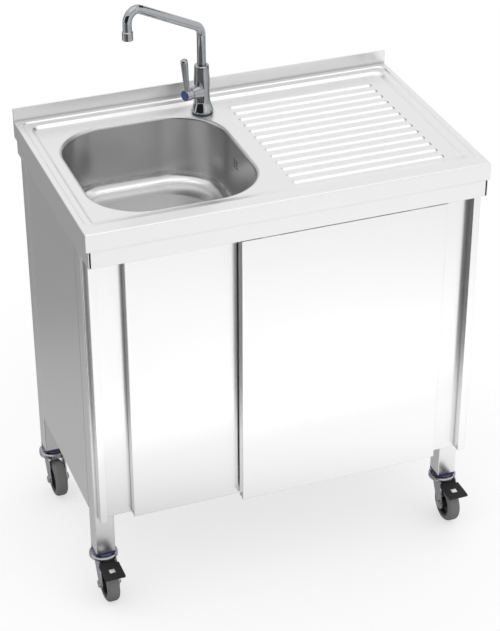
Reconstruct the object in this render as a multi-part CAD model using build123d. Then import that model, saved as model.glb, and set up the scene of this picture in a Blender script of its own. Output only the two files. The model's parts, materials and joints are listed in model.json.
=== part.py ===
from build123d import *
import math
import os

# Portable stainless-steel sink: a pressed worktop with bowl and drainer on a wheeled cabinet
# with two sliding doors, a swivel tap, and a clean and a waste water can with a small pump inside.
# Millimetres. +Z is up, the doors face -Y, and the origin is on the floor under the middle of the
# object's box.

# Worktop
WIDTH = 800.0
DEPTH = 500.0
TOP_HEIGHT = 864.0
SHEET = 1.2
SKIRT_HEIGHT = 35.0
EDGE_RADIUS = 2.5
SPLASH_HEIGHT = 27.0
SPLASH_THICKNESS = 3.0

# Two pressed steps that go down from the rim on three sides and fade out at the front
OUTER_STEP_DROP = 2.0
OUTER_STEP_SIDE = 10.5
OUTER_STEP_BACK = 16.5
INNER_STEP_DROP = 5.0
INNER_STEP_SIDE = 21.5
INNER_STEP_BACK = 32.0
STEP_RUN_PER_DROP = 1.2
STEP_CORNER = 14.0
PAN_FRONT = 32.0
RAMP_RUN = 24.0
RAMP_MARGIN = 0.5

# Drainer ribs
RIB_COUNT = 13
RIB_PITCH = 28.7
RIB_LENGTH = 312.0
RIB_WIDTH = 15.0
RIB_HEIGHT = 3.5
RIB_FROM_LEFT = 423.5
RIB_FROM_FRONT = 72.0

# Bowl
BOWL_WIDTH = 340.0
BOWL_LENGTH = 370.0
BOWL_CORNER = 110.0
BOWL_DEPTH = 150.0
BOWL_FROM_LEFT = 217.0
BOWL_FROM_FRONT = 244.0
BOWL_SHEET = 1.0
BOWL_LIP_RADIUS = 6.0
BOWL_FLOOR_RADIUS = 24.0
RIM_MARGIN = 1.0
FLOOR_DISH_RADIUS = 135.0
FLOOR_DISH_DROP = 8.0
OVERFLOW_DROP = 46.0
OVERFLOW_FROM_FRONT = 264.0
SLIT_LENGTH = 9.0
SLIT_HEIGHT = 3.0
SLIT_PITCH_Y = 13.0
SLIT_PITCH_Z = 6.5

# Strainer and waste
DRAIN_HOLE_RADIUS = 44.0
STRAINER_FLANGE_RADIUS = 56.0
STRAINER_FLANGE = 2.0
STRAINER_WALL = 2.0
STRAINER_CUP_DEPTH = 46.0
WASTE_PIPE_RADIUS = 20.0
WASTE_PIPE_WALL = 2.0
TAILPIPE_LENGTH = 22.0
BASKET_CLEARANCE = 1.5
BASKET_HEIGHT = 30.0
BASKET_HOLE_RADIUS = 2.5
BASKET_HOLES = 8
BASKET_RINGS = (0.5, 0.8)
BASKET_STEM_RADIUS = 5.0
BASKET_KNOB_RADIUS = 7.0
OVERFLOW_PIPE_RADIUS = 10.0
OVERFLOW_BOX_DEPTH = 24.0
OVERFLOW_BOX_WIDTH = 40.0
OVERFLOW_BOX_HEIGHT = 34.0

# Frame and legs
RAIL_HEIGHT = 35.0
RAIL_WALL = 1.5
RAIL_FRONT_INSET = 1.0
RAIL_BACK_INSET = 3.0
RAIL_SLOT = 3.0
LEG = 40.0
LEG_WALL = 1.5
LEG_CORNER = 2.5
LEG_SIDE_INSET = 4.0
LEG_FRONT_INSET = 57.0
LEG_REAR_INSET = 25.0
CASTER_HEIGHT = 106.0

# Panels and shelf
PANEL_BOTTOM = 195.0
PANEL_FOLD = 18.0
PANEL_GAP = 0.3
SHELF_FOLD = 20.0
SHELF_RETURN = 14.0

# Sliding doors, jambs, track and guide
DOOR_WIDTH = 420.0
DOOR_THICKNESS = 18.0
DOOR_TOP_GAP = 8.0
DOOR_HEM = 14.0
RIGHT_DOOR_SETBACK = 12.0
DOOR_PITCH = 24.0
DOOR_OFFSET = 55.0
JAMB_FROM_SIDE = 11.0
JAMB_LIP = 14.0
JAMB_BEHIND_DOOR = 30.0
JAMB_CLEARANCE = 1.0
TRACK_SLOT = 6.0
TRACK_INNER = 15.0
TRACK_HEIGHT = 21.0
TRACK_WALL = 1.5
TRACK_END_GAP = 2.0
GLIDER_LENGTH = 30.0
GLIDER_HEIGHT = 8.0
GLIDER_SPACING = 300.0
GLIDER_STEM = 4.0
GLIDER_FOOT = 2.0
GLIDER_EDGE = 2.0
RUNNING_GAP = 0.4
GUIDE_LENGTH = 80.0
GUIDE_PLATE = 2.0
GUIDE_FIN = 3.0
GUIDE_FIN_HEIGHT = 8.0
GUIDE_SLOT = 5.0

# Casters
WHEEL_RADIUS = 40.0
TYRE_WIDTH = 26.0
TYRE_SHOULDER = 8.0
HUB_RADIUS = 29.0
HUB_WEB = 10.0
HUB_RIM = 5.0
HUB_BOSS_RADIUS = 11.0
AXLE_RADIUS = 4.0
AXLE_HEAD_RADIUS = 7.5
AXLE_HEAD = 4.0
CASTER_TRAIL = 32.0
FORK_GAP = 33.0
FORK_PLATE = 2.5
FORK_HEAD_RADIUS = 29.0
FORK_HEAD_SKIRT = 11.0
BRAKED_HEAD_SKIRT = 7.5
FORK_FOOT_RADIUS = 12.0
FORK_SHOULDER = 18.5
FORK_LEAN = 10.5
FORK_HEAD_PLATE = 3.0
PLUG_FLANGE = 6.0
PLUG_INSERT = 25.0
RACE_RADIUS = 22.0
RACE_HEIGHT = 3.0
KINGPIN_RADIUS = 5.0
KINGPIN_NUT_RADIUS = 9.0
KINGPIN_NUT = 3.0
PEDAL_REACH = 83.0
PEDAL_WIDTH = 42.0
PEDAL_LENGTH = 48.0
PEDAL_THICKNESS = 4.0
PEDAL_CLEARANCE = 4.0
PEDAL_HOLE = 13.0
PEDAL_TONGUE = 30.0
PEDAL_PIVOT_BACK = 16.0
PEDAL_PIN_RADIUS = 2.5
PEDAL_EYE_RADIUS = 4.5

# Tap
TAP_FROM_LEFT = 368.0
TAP_FROM_FRONT = 420.0
TAP_TURN = 22.3
TAP_BASE_RADIUS = 22.0
TAP_BASE_EDGE = 5.0
TAP_FOOT_RADIUS = 20.5
TAP_FLARE_SLOPE = (-0.25, 0, 1)
TAP_NECK_RADIUS = 15.2
TAP_NECK_HEIGHT = 40.0
TAP_FLARE_RADIUS = 17.2
TAP_FLARE_HEIGHT = 20.0
TAP_SWELL_RADIUS = 16.0
TAP_SWELL_HEIGHT = 70.0
TAP_TOP_RADIUS = 14.9
TAP_RING_HEIGHT = 4.0
TAP_GROOVE = 0.8
TAP_BODY_HEIGHT = 101.0
TAP_SHANK_RADIUS = 14.0
TAP_SHANK_LENGTH = 52.0
TAP_SHANK_BORE = 5.5
TAP_HOLE_CLEARANCE = 0.5
SEAL_HEIGHT = 2.0
BACKNUT_HEIGHT = 10.0
BACKNUT_ACROSS = 40.0
HANDLE_HEIGHT = 47.0
BOSS_ROOT_RADIUS = 15.5
BOSS_RADIUS = 11.8
BOSS_REACH = 29.0
HANDLE_RADIUS = 11.4
HANDLE_EDGE = 0.5
HANDLE_LENGTH = 16.0
HANDLE_GAP = 0.4
INDEX_RADIUS = 10.6
INDEX_HEIGHT = 1.5
LEVER_FOOT_RADIUS = 4.6
LEVER_TIP_RADIUS = 7.5
LEVER_RISE = 80.0
LEVER_FROM_END = 6.5
LEVER_LEAN = 5.0
SPOUT_RADIUS = 9.0
SPOUT_WALL = 1.5
SPOUT_SOCKET = 22.0
SPOUT_CORNER_HEIGHT = 179.5
SPOUT_REACH = 184.5
SPOUT_CREST_HEIGHT = 277.5
SPOUT_OUTLET_HEIGHT = 207.5
SPOUT_LOW_BEND = 23.0
SPOUT_HIGH_BEND = 22.0
AERATOR_RADIUS = 10.8
AERATOR_HEIGHT = 18.0
AERATOR_LIP = 3.0

# Water cans, pump and battery on the shelf
CAN_WIDTH = 250.0
CAN_LENGTH = 250.0
CAN_BODY_HEIGHT = 300.0
CAN_SHOULDER = 30.0
CAN_CORNER = 28.0
CAN_NECK_TO_FRONT = 78.0
CAN_NECK_RADIUS = 26.0
CAN_NECK_HEIGHT = 22.0
CAN_HANDLE_WIDTH = 30.0
CAN_HANDLE_LENGTH = 100.0
CAN_HANDLE_RISE = 48.0
CAN_HANDLE_BAR = 18.0
CAN_HANDLE_POST = 20.0
CAN_WALL = 2.5
CAP_RADIUS = 31.0
CAP_HEIGHT = 22.0
CAP_WALL = 3.0
CAP_RIBS = 16
CAP_RIB_RADIUS = 1.6
FRESH_CAN_FROM_LEFT = 583.0
PUMP_FROM_LEFT = 400.0
PUMP_FROM_FRONT = 412.0
PUMP_HEAD_WIDTH = 74.0
PUMP_HEAD_LENGTH = 40.0
PUMP_HEAD_HEIGHT = 78.0
PUMP_MOTOR_RADIUS = 28.0
PUMP_MOTOR_LENGTH = 88.0
PUMP_FOOT = 6.0
PUMP_FOOT_RADIUS = 9.0
PUMP_FOOT_INSET = 12.0
PUMP_PLATE = 3.0
CASE_CORNER = 5.0
PORT_SPACING = 34.0
PORT_HEIGHT = 16.0
PORT_RADIUS = 5.0
HOSE_RADIUS = 7.0
HOSE_BEND = 38.0
SUCTION_RISE = 62.0
SUCTION_END = 30.0
RISER_TURN_HEIGHT = 560.0
RISER_JOIN_HEIGHT = 680.0
BATTERY_WIDTH = 76.0
BATTERY_LENGTH = 130.0
BATTERY_HEIGHT = 96.0
BATTERY_FROM_FRONT = 190.0
BATTERY_TERMINAL = 12.0
CABLE_RADIUS = 3.0
CABLE_BEND = 22.0
CABLE_ARCH = 46.0
FIT = 0.05

# Places worked out from the sizes above
LEG_FRONT_AXIS = LEG_FRONT_INSET + LEG / 2
FRONT_OVERHANG = max(PEDAL_REACH, CASTER_TRAIL + WHEEL_RADIUS) - LEG_FRONT_AXIS
LEFT = -WIDTH / 2
RIGHT = WIDTH / 2
FRONT = -(DEPTH - max(FRONT_OVERHANG, 0.0)) / 2
BACK = FRONT + DEPTH
SKIRT_BOTTOM = TOP_HEIGHT - SKIRT_HEIGHT
RAIL_BOTTOM = SKIRT_BOTTOM - RAIL_HEIGHT
BOARD_DROP = OUTER_STEP_DROP + INNER_STEP_DROP
BOARD = TOP_HEIGHT - BOARD_DROP
LEG_X = RIGHT - LEG_SIDE_INSET - LEG / 2
LEG_FRONT_Y = FRONT + LEG_FRONT_AXIS
LEG_REAR_Y = BACK - LEG_REAR_INSET - LEG / 2
PANEL_TOP = RAIL_BOTTOM
SHELF_TOP = PANEL_BOTTOM + SHELF_FOLD
BOWL_X = LEFT + BOWL_FROM_LEFT
BOWL_Y = FRONT + BOWL_FROM_FRONT
BOWL_FLOOR = BOARD - BOWL_DEPTH
BOWL_WALL_FOOT = BOWL_FLOOR + FLOOR_DISH_DROP
STRAINER_FLOOR = BOWL_FLOOR - STRAINER_CUP_DEPTH
TAILPIPE_END = STRAINER_FLOOR - TAILPIPE_LENGTH
RIGHT_DOOR_Y = FRONT + RIGHT_DOOR_SETBACK
LEFT_DOOR_Y = RIGHT_DOOR_Y + DOOR_PITCH
DOOR_BOTTOM = PANEL_BOTTOM
DOOR_TOP = RAIL_BOTTOM - DOOR_TOP_GAP
LEFT_DOOR_X = LEFT + JAMB_FROM_SIDE + JAMB_LIP + DOOR_OFFSET
RIGHT_DOOR_X = RIGHT - JAMB_FROM_SIDE - JAMB_LIP - DOOR_OFFSET - DOOR_WIDTH
LEG_FACE = FRONT + LEG_FRONT_INSET
TRACK_TOP = SKIRT_BOTTOM - RAIL_WALL
TRACK_BOTTOM = TRACK_TOP - TRACK_HEIGHT
AXLE_Z = WHEEL_RADIUS
RACE_BOTTOM = CASTER_HEIGHT - PLUG_FLANGE - RACE_HEIGHT
FORK_TOP = RACE_BOTTOM - RUNNING_GAP
PEDAL_BOTTOM = 2 * WHEEL_RADIUS + PEDAL_CLEARANCE
PEDAL_PIVOT_Z = PEDAL_BOTTOM + PEDAL_THICKNESS / 2
TAP_X = LEFT + TAP_FROM_LEFT
TAP_Y = FRONT + TAP_FROM_FRONT
TAP_FOOT = BOARD + SEAL_HEIGHT
SHANK_END = TAP_FOOT - TAP_SHANK_LENGTH
FRESH_CAN_X = LEFT + FRESH_CAN_FROM_LEFT
CAN_NECK_Y = BOWL_Y
CAN_TOP = SHELF_TOP + CAN_BODY_HEIGHT + CAN_SHOULDER
CAP_TOP = CAN_TOP + CAP_WALL
PUMP_X = LEFT + PUMP_FROM_LEFT
PUMP_Y = FRONT + PUMP_FROM_FRONT
PUMP_SEAT = SHELF_TOP + PUMP_FOOT + PUMP_PLATE
PORT_TOP = PUMP_SEAT + PUMP_HEAD_HEIGHT + PORT_HEIGHT
BATTERY_Y = FRONT + BATTERY_FROM_FRONT


def block(x0, x1, y0, y1, z0, z1):
    """Box between two corners."""
    return Pos((x0 + x1) / 2, (y0 + y1) / 2, (z0 + z1) / 2) * Box(x1 - x0, y1 - y0, z1 - z0)


def prism(x, y, width, length, corner, z0, z1):
    """Upright prism with rounded corners, centred on x and y."""
    return extrude(Pos(x, y, z0) * RectangleRounded(width, length, corner), z1 - z0)


def rod(x, y, z0, z1, radius):
    """Upright cylinder."""
    return Pos(x, y, (z0 + z1) / 2) * Cylinder(radius, z1 - z0)


def rod_x(x0, x1, y, z, radius):
    """Cylinder along X."""
    return Pos((x0 + x1) / 2, y, z) * Rot(0, 90, 0) * Cylinder(radius, x1 - x0)


def rod_y(x, y0, y1, z, radius):
    """Cylinder along Y."""
    return Pos(x, (y0 + y1) / 2, z) * Rot(90, 0, 0) * Cylinder(radius, y1 - y0)


def fuse(pieces):
    """One solid from touching pieces."""
    whole = pieces[0]
    for piece in pieces[1:]:
        whole = whole + piece
    return whole


def turned(points):
    """Solid of revolution about Z from (radius, height) corners."""
    outline = Polyline([(radius, 0, height) for radius, height in points], close=True)
    return revolve(make_face(outline), Axis.Z)


def pipe(points, bends, radius, bore=0.0):
    """Round tube along straight runs joined by tangent arcs."""
    path = FilletPolyline(*points, radius=bends)
    start = Plane(origin=path @ 0, z_dir=path % 0)
    section = Circle(radius)
    if bore > 0:
        section = section - Circle(bore)
    return sweep(start * section, path=path)


# Worktop, frame and cabinet

def pressed_pan(drop, side, back):
    """Cutter for one pressed step, with sloping sides and a floor that ramps up to the front edge."""
    width = WIDTH - 2 * side
    pan_front = FRONT + PAN_FRONT
    length = BACK - back - pan_front
    middle = (pan_front + BACK - back) / 2
    floor = TOP_HEIGHT - drop
    run = drop * STEP_RUN_PER_DROP
    low = Pos(0, middle, floor) * RectangleRounded(width - 2 * run, length - 2 * run, STEP_CORNER)
    high = Pos(0, middle, TOP_HEIGHT) * RectangleRounded(width, length, STEP_CORNER + run)
    cutter = loft([low, high], ruled=True)
    ramp_top = pan_front + RAMP_MARGIN
    deep = BOARD - BOARD_DROP
    ahead = ramp_top - RAMP_RUN
    ramp = Polyline([(LEFT, ramp_top + 2 * RAMP_RUN, deep), (LEFT, ahead, TOP_HEIGHT + BOARD_DROP),
                     (LEFT, ahead, deep)], close=True)
    return cutter - extrude(make_face(ramp), WIDTH, dir=(1, 0, 0))


def rib(number):
    """One drainer bead: the top of a round-ended bar that lies mostly below the board."""
    half = RIB_WIDTH / 2
    radius = (RIB_HEIGHT**2 + half**2) / (2 * RIB_HEIGHT)
    x0 = LEFT + RIB_FROM_LEFT + half
    x1 = x0 + RIB_LENGTH - RIB_WIDTH
    y = FRONT + RIB_FROM_FRONT + number * RIB_PITCH
    z = BOARD + RIB_HEIGHT - radius
    bar = rod_x(x0, x1, y, z, radius)
    ends = [Pos(x, y, z) * Sphere(radius) for x in (x0, x1)]
    return fuse([bar] + ends)


def pressed_block(inset):
    """Block whose top face is the pressed worktop."""
    whole = block(LEFT + inset, RIGHT - inset, FRONT + inset, BACK - inset, SKIRT_BOTTOM, TOP_HEIGHT)
    if inset == 0:
        upper = whole.edges().filter_by_position(Axis.Z, TOP_HEIGHT - SHEET, TOP_HEIGHT + SHEET)
        folded = [edge for edge in upper if edge.center().Y < BACK - SHEET]
        whole = fillet(folded, EDGE_RADIUS)
    whole -= pressed_pan(OUTER_STEP_DROP, OUTER_STEP_SIDE, OUTER_STEP_BACK)
    whole -= pressed_pan(BOARD_DROP, INNER_STEP_SIDE, INNER_STEP_BACK)
    return fuse([whole] + [rib(number) for number in range(RIB_COUNT)])


def worktop():
    """Thin sheet with folded edges, steps, ribs, upstand, and holes for the bowl and the tap."""
    sheet = pressed_block(0) - Pos(0, 0, -SHEET) * pressed_block(SHEET)
    below = BOARD - BOARD_DROP
    sheet -= prism(BOWL_X, BOWL_Y, BOWL_WIDTH, BOWL_LENGTH, BOWL_CORNER, below, TOP_HEIGHT)
    sheet -= rod(TAP_X, TAP_Y, below, TOP_HEIGHT, TAP_SHANK_RADIUS + TAP_HOLE_CLEARANCE)
    splash_top = TOP_HEIGHT + SPLASH_HEIGHT
    splash = block(LEFT, RIGHT, BACK - SPLASH_THICKNESS, BACK, TOP_HEIGHT - SHEET, splash_top)
    return sheet + splash


def bowl_space(grow):
    """Hollow of the bowl, grown outwards by a wall's thickness."""
    inset = 2 * (BOWL_LIP_RADIUS - grow)
    width = BOWL_WIDTH - inset
    length = BOWL_LENGTH - inset
    corner = BOWL_CORNER - inset / 2
    top = BOARD - grow
    lip = BOWL_LIP_RADIUS - grow
    foot = BOWL_WALL_FOOT - grow
    well = prism(BOWL_X, BOWL_Y, width, length, corner, foot, top)
    well = fillet(well.faces().sort_by(Axis.Z)[0].edges(), BOWL_FLOOR_RADIUS + grow)
    dish = Pos(BOWL_X, BOWL_Y, foot - FLOOR_DISH_DROP / 2) * Cone(
        STRAINER_FLANGE_RADIUS, FLOOR_DISH_RADIUS, FLOOR_DISH_DROP)
    below = top - lip - RIM_MARGIN
    rim = prism(BOWL_X, BOWL_Y, BOWL_WIDTH + 2 * RIM_MARGIN, BOWL_LENGTH + 2 * RIM_MARGIN,
                BOWL_CORNER + RIM_MARGIN, below, top)
    rim -= prism(BOWL_X, BOWL_Y, width, length, corner, below, top)
    rim = fillet(rim.faces().sort_by(Axis.Z)[-1].inner_wires()[0].edges(), lip)
    flare = prism(BOWL_X, BOWL_Y, BOWL_WIDTH, BOWL_LENGTH, BOWL_CORNER, top - lip, top) - rim
    return fuse([well, dish, flare])


def sink_bowl():
    """Deep-drawn bowl with a rolled lip, a dished floor, a drain hole and overflow slits."""
    lip_edge = prism(BOWL_X, BOWL_Y, BOWL_WIDTH, BOWL_LENGTH, BOWL_CORNER, BOARD - BOWL_SHEET, BOARD)
    shell = bowl_space(BOWL_SHEET) + lip_edge - bowl_space(0.0)
    shell -= rod(BOWL_X, BOWL_Y, STRAINER_FLOOR, BOWL_FLOOR + BOWL_FLOOR_RADIUS, DRAIN_HOLE_RADIUS)
    wall = BOWL_X + BOWL_WIDTH / 2 - BOWL_LIP_RADIUS
    middle_y = FRONT + OVERFLOW_FROM_FRONT
    for column in (-0.5, 0.5):
        for row in (-1, 0, 1):
            y = middle_y + column * SLIT_PITCH_Y
            z = BOARD - OVERFLOW_DROP + row * SLIT_PITCH_Z
            shell -= block(wall - BOWL_LIP_RADIUS, wall + BOWL_LIP_RADIUS,
                           y - SLIT_LENGTH / 2, y + SLIT_LENGTH / 2, z - SLIT_HEIGHT / 2, z + SLIT_HEIGHT / 2)
    return shell


def channel_rail(x0, x1, y0, y1, openings):
    """Folded channel between two corners, open on the sides named by directions."""
    rail = block(x0, x1, y0, y1, RAIL_BOTTOM, SKIRT_BOTTOM)
    hollow = block(x0 + RAIL_WALL, x1 - RAIL_WALL, y0 + RAIL_WALL, y1 - RAIL_WALL,
                   RAIL_BOTTOM + RAIL_WALL, SKIRT_BOTTOM - RAIL_WALL)
    rail -= hollow
    for dx, dy in openings:
        rail -= Pos(dx * 2 * RAIL_WALL, dy * 2 * RAIL_WALL, 0) * hollow
    return rail


def top_frame():
    """Welded ring under the worktop: three channels and a deep front member that carries the track.

    The front member stops short of the side channels' webs, so that a slot shows at each end.
    """
    x = RIGHT - LEG_SIDE_INSET
    y0 = FRONT + RAIL_FRONT_INSET
    y1 = BACK - RAIL_BACK_INSET
    flange_end = LEG_FACE + RAIL_WALL
    face_end = x - RAIL_WALL - RAIL_SLOT
    side_left = channel_rail(-x, -x + LEG, y0, y1, [(1, 0), (0, -1)])
    side_right = channel_rail(x - LEG, x, y0, y1, [(-1, 0), (0, -1)])
    rear = channel_rail(-x + LEG - RAIL_WALL, x - LEG + RAIL_WALL, y1 - LEG, y1, [(0, -1)])
    face = block(-face_end, face_end, y0, y0 + RAIL_WALL, RAIL_BOTTOM, SKIRT_BOTTOM)
    flange = block(-x + LEG - RAIL_WALL, x - LEG + RAIL_WALL, y0, flange_end,
                   SKIRT_BOTTOM - RAIL_WALL, SKIRT_BOTTOM)
    return fuse([side_left, side_right, rear, face, flange])


def leg(x, y):
    """Square tube from the caster's plug to the frame."""
    inside = LEG - 2 * LEG_WALL
    outer = prism(x, y, LEG, LEG, LEG_CORNER, CASTER_HEIGHT, RAIL_BOTTOM)
    return outer - prism(x, y, inside, inside, LEG_CORNER - LEG_WALL, CASTER_HEIGHT, RAIL_BOTTOM)


def side_panel(side):
    """Folded sheet between the front and rear legs, flush with them."""
    face = side * (RIGHT - LEG_SIDE_INSET)
    inside = face - side * PANEL_FOLD
    skin = face - side * SHEET
    y0 = LEG_FRONT_Y + LEG / 2 + PANEL_GAP
    y1 = LEG_REAR_Y - LEG / 2 - PANEL_GAP
    outer = block(min(face, inside), max(face, inside), y0, y1, PANEL_BOTTOM, PANEL_TOP)
    hollow = block(min(skin, inside), max(skin, inside), y0 + SHEET, y1 - SHEET,
                   PANEL_BOTTOM + SHEET, PANEL_TOP - SHEET)
    return outer - hollow


def back_panel():
    """Folded sheet between the rear legs."""
    x = LEG_X - LEG / 2 - PANEL_GAP
    face = LEG_REAR_Y + LEG / 2
    outer = block(-x, x, face - PANEL_FOLD, face, PANEL_BOTTOM, PANEL_TOP)
    hollow = block(-x + SHEET, x - SHEET, face - PANEL_FOLD, face - SHEET,
                   PANEL_BOTTOM + SHEET, PANEL_TOP - SHEET)
    return outer - hollow


def bottom_shelf():
    """Tray with folded edges and returns, notched round the legs."""
    x = RIGHT - LEG_SIDE_INSET - PANEL_FOLD - PANEL_GAP
    y0 = LEG_FACE + RAIL_WALL
    y1 = LEG_REAR_Y + LEG / 2 - PANEL_FOLD - PANEL_GAP
    tray = block(-x, x, y0, y1, PANEL_BOTTOM, SHELF_TOP)
    notch = LEG / 2 + PANEL_GAP
    corners = [(side * LEG_X, y) for side in (-1, 1) for y in (LEG_FRONT_Y, LEG_REAR_Y)]
    for cx, cy in corners:
        tray -= block(cx - notch, cx + notch, cy - notch, cy + notch, PANEL_BOTTOM, SHELF_TOP)
    hollow = block(-x + SHEET, x - SHEET, y0 + SHEET, y1 - SHEET, PANEL_BOTTOM + SHEET, SHELF_TOP - SHEET)
    mouth = block(-x + SHELF_RETURN, x - SHELF_RETURN, y0 + SHELF_RETURN, y1 - SHELF_RETURN,
                  PANEL_BOTTOM, SHELF_TOP - SHEET)
    for cx, cy in corners:
        wall = notch + SHEET
        keep = block(cx - wall, cx + wall, cy - wall, cy + wall, PANEL_BOTTOM, SHELF_TOP)
        lip = notch + SHELF_RETURN
        hollow -= keep
        mouth -= block(cx - lip, cx + lip, cy - lip, cy + lip, PANEL_BOTTOM, SHELF_TOP)
    return tray - hollow - mouth


def jamb(side, door_face, door_back):
    """Folded door jamb on a leg's front: a lip level with its door, and a sheet behind the door."""
    outside = RIGHT - JAMB_FROM_SIDE
    lip_inside = outside - JAMB_LIP
    behind = lip_inside - DOOR_OFFSET - JAMB_BEHIND_DOOR
    sheet_face = door_back + JAMB_CLEARANCE
    top = RAIL_BOTTOM - PANEL_GAP
    lip_face = block(lip_inside, outside, door_face, door_face + SHEET, PANEL_BOTTOM, top)
    outer_wall = block(outside - SHEET, outside, door_face, LEG_FACE, PANEL_BOTTOM, top)
    inner_wall = block(lip_inside, lip_inside + SHEET, door_face, sheet_face + SHEET, PANEL_BOTTOM, top)
    sheet = block(behind, lip_inside + SHEET, sheet_face, sheet_face + SHEET, PANEL_BOTTOM, top)
    seat = block(LEG_X - LEG / 2, outside, LEG_FACE - SHEET, LEG_FACE, PANEL_BOTTOM, top)
    folded = fuse([lip_face, outer_wall, inner_wall, sheet, seat])
    return folded if side > 0 else mirror(folded, Plane.YZ)


def left_jamb():
    """Jamb of the inner door, which runs close to the legs."""
    return jamb(-1, LEFT_DOOR_Y, LEFT_DOOR_Y + DOOR_THICKNESS)


def right_jamb():
    """Jamb of the outer door, deep enough for the inner door to pass behind its sheet."""
    return jamb(1, RIGHT_DOOR_Y, RIGHT_DOOR_Y + DOOR_THICKNESS)


def door_track():
    """Double channel under the front member, one slot for each door."""
    x = RIGHT - LEG_SIDE_INSET - LEG - TRACK_END_GAP
    half = TRACK_INNER / 2 + TRACK_WALL
    middles = [RIGHT_DOOR_Y + DOOR_THICKNESS / 2, LEFT_DOOR_Y + DOOR_THICKNESS / 2]
    ceiling = TRACK_TOP - TRACK_WALL
    track = block(-x, x, middles[0] - half, middles[1] + half, ceiling, TRACK_TOP)
    for y in middles:
        channel = block(-x, x, y - half, y + half, TRACK_BOTTOM, TRACK_TOP)
        channel -= block(-x, x, y - TRACK_INNER / 2, y + TRACK_INNER / 2, TRACK_BOTTOM + TRACK_WALL, ceiling)
        track += channel - block(-x, x, y - TRACK_SLOT / 2, y + TRACK_SLOT / 2, TRACK_BOTTOM, ceiling)
    return track


def door_guide():
    """Central bracket on the shelf's front, with one fin in each door's bottom slot."""
    half = GUIDE_LENGTH / 2
    top = DOOR_BOTTOM - RUNNING_GAP
    shelf_face = LEG_FACE + RAIL_WALL
    front = RIGHT_DOOR_Y + DOOR_THICKNESS / 2 - GUIDE_FIN / 2
    plate = block(-half, half, front, shelf_face, top - GUIDE_PLATE, top)
    upstand = block(-half, half, shelf_face - GUIDE_PLATE, shelf_face, top - GUIDE_PLATE, SHELF_TOP - SHEET)
    pieces = [plate, upstand]
    for door_y in (RIGHT_DOOR_Y, LEFT_DOOR_Y):
        y = door_y + DOOR_THICKNESS / 2
        pieces.append(block(-half, half, y - GUIDE_FIN / 2, y + GUIDE_FIN / 2,
                            top - GUIDE_PLATE, top + GUIDE_FIN_HEIGHT))
    return fuse(pieces)


def door(x0, y0):
    """Sliding door: a folded pan with hemmed edges and a slot along its bottom for the guide."""
    x1 = x0 + DOOR_WIDTH
    y1 = y0 + DOOR_THICKNESS
    middle = (y0 + y1) / 2
    pan = block(x0, x1, y0, y1, DOOR_BOTTOM, DOOR_TOP)
    pan -= block(x0 + SHEET, x1 - SHEET, y0 + SHEET, y1 - SHEET, DOOR_BOTTOM + SHEET, DOOR_TOP - SHEET)
    pan -= block(x0 + DOOR_HEM, x1 - DOOR_HEM, middle, y1, DOOR_BOTTOM + DOOR_HEM, DOOR_TOP - DOOR_HEM)
    slot_top = DOOR_BOTTOM + GUIDE_FIN_HEIGHT + SHEET
    pan -= block(x0, x1, middle - GUIDE_SLOT / 2, middle + GUIDE_SLOT / 2, DOOR_BOTTOM, slot_top)
    uprights = [edge for edge in pan.edges().filter_by(Axis.Z)
                if abs(edge.center().Y - y0) < SHEET / 2 and edge.length > DOOR_HEM]
    return fillet(uprights, SHEET)


def door_gliders(x0, y0):
    """Two nylon hangers on the top edge of a door, each with a shoe inside the track."""
    y = y0 + DOOR_THICKNESS / 2
    shoe_bottom = TRACK_BOTTOM + TRACK_WALL + RUNNING_GAP
    half_shoe = TRACK_INNER / 2 - RUNNING_GAP
    half_stem = GLIDER_STEM / 2
    hangers = []
    for side in (-0.5, 0.5):
        middle = x0 + DOOR_WIDTH / 2 + side * GLIDER_SPACING
        start = middle - GLIDER_LENGTH / 2
        end = middle + GLIDER_LENGTH / 2
        shoe = block(start, end, y - half_shoe, y + half_shoe, shoe_bottom, shoe_bottom + GLIDER_HEIGHT)
        shoe = fillet(shoe.edges().filter_by(Axis.Y), GLIDER_EDGE)
        stem = block(start, end, y - half_stem, y + half_stem, DOOR_TOP, shoe_bottom + GLIDER_STEM)
        foot = block(start, end, y - half_shoe, y + half_shoe, DOOR_TOP, DOOR_TOP + GLIDER_FOOT)
        hangers.append(fuse([shoe, stem, foot]))
    return Compound(children=hangers)


# Strainer, waste and overflow

def strainer_body():
    """Flanged cup in the drain hole with a tailpipe."""
    cup = DRAIN_HOLE_RADIUS - RUNNING_GAP
    bore = cup - STRAINER_WALL
    floor = STRAINER_FLOOR
    tail_bore = WASTE_PIPE_RADIUS - WASTE_PIPE_WALL
    rim = BOWL_FLOOR + STRAINER_FLANGE
    return Pos(BOWL_X, BOWL_Y, 0) * turned([
        (bore, rim), (STRAINER_FLANGE_RADIUS - STRAINER_FLANGE, rim), (STRAINER_FLANGE_RADIUS, BOWL_FLOOR),
        (cup, BOWL_FLOOR), (cup, floor - STRAINER_WALL), (WASTE_PIPE_RADIUS, floor - STRAINER_WALL),
        (WASTE_PIPE_RADIUS, TAILPIPE_END), (tail_bore, TAILPIPE_END), (tail_bore, floor), (bore, floor)])


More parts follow.
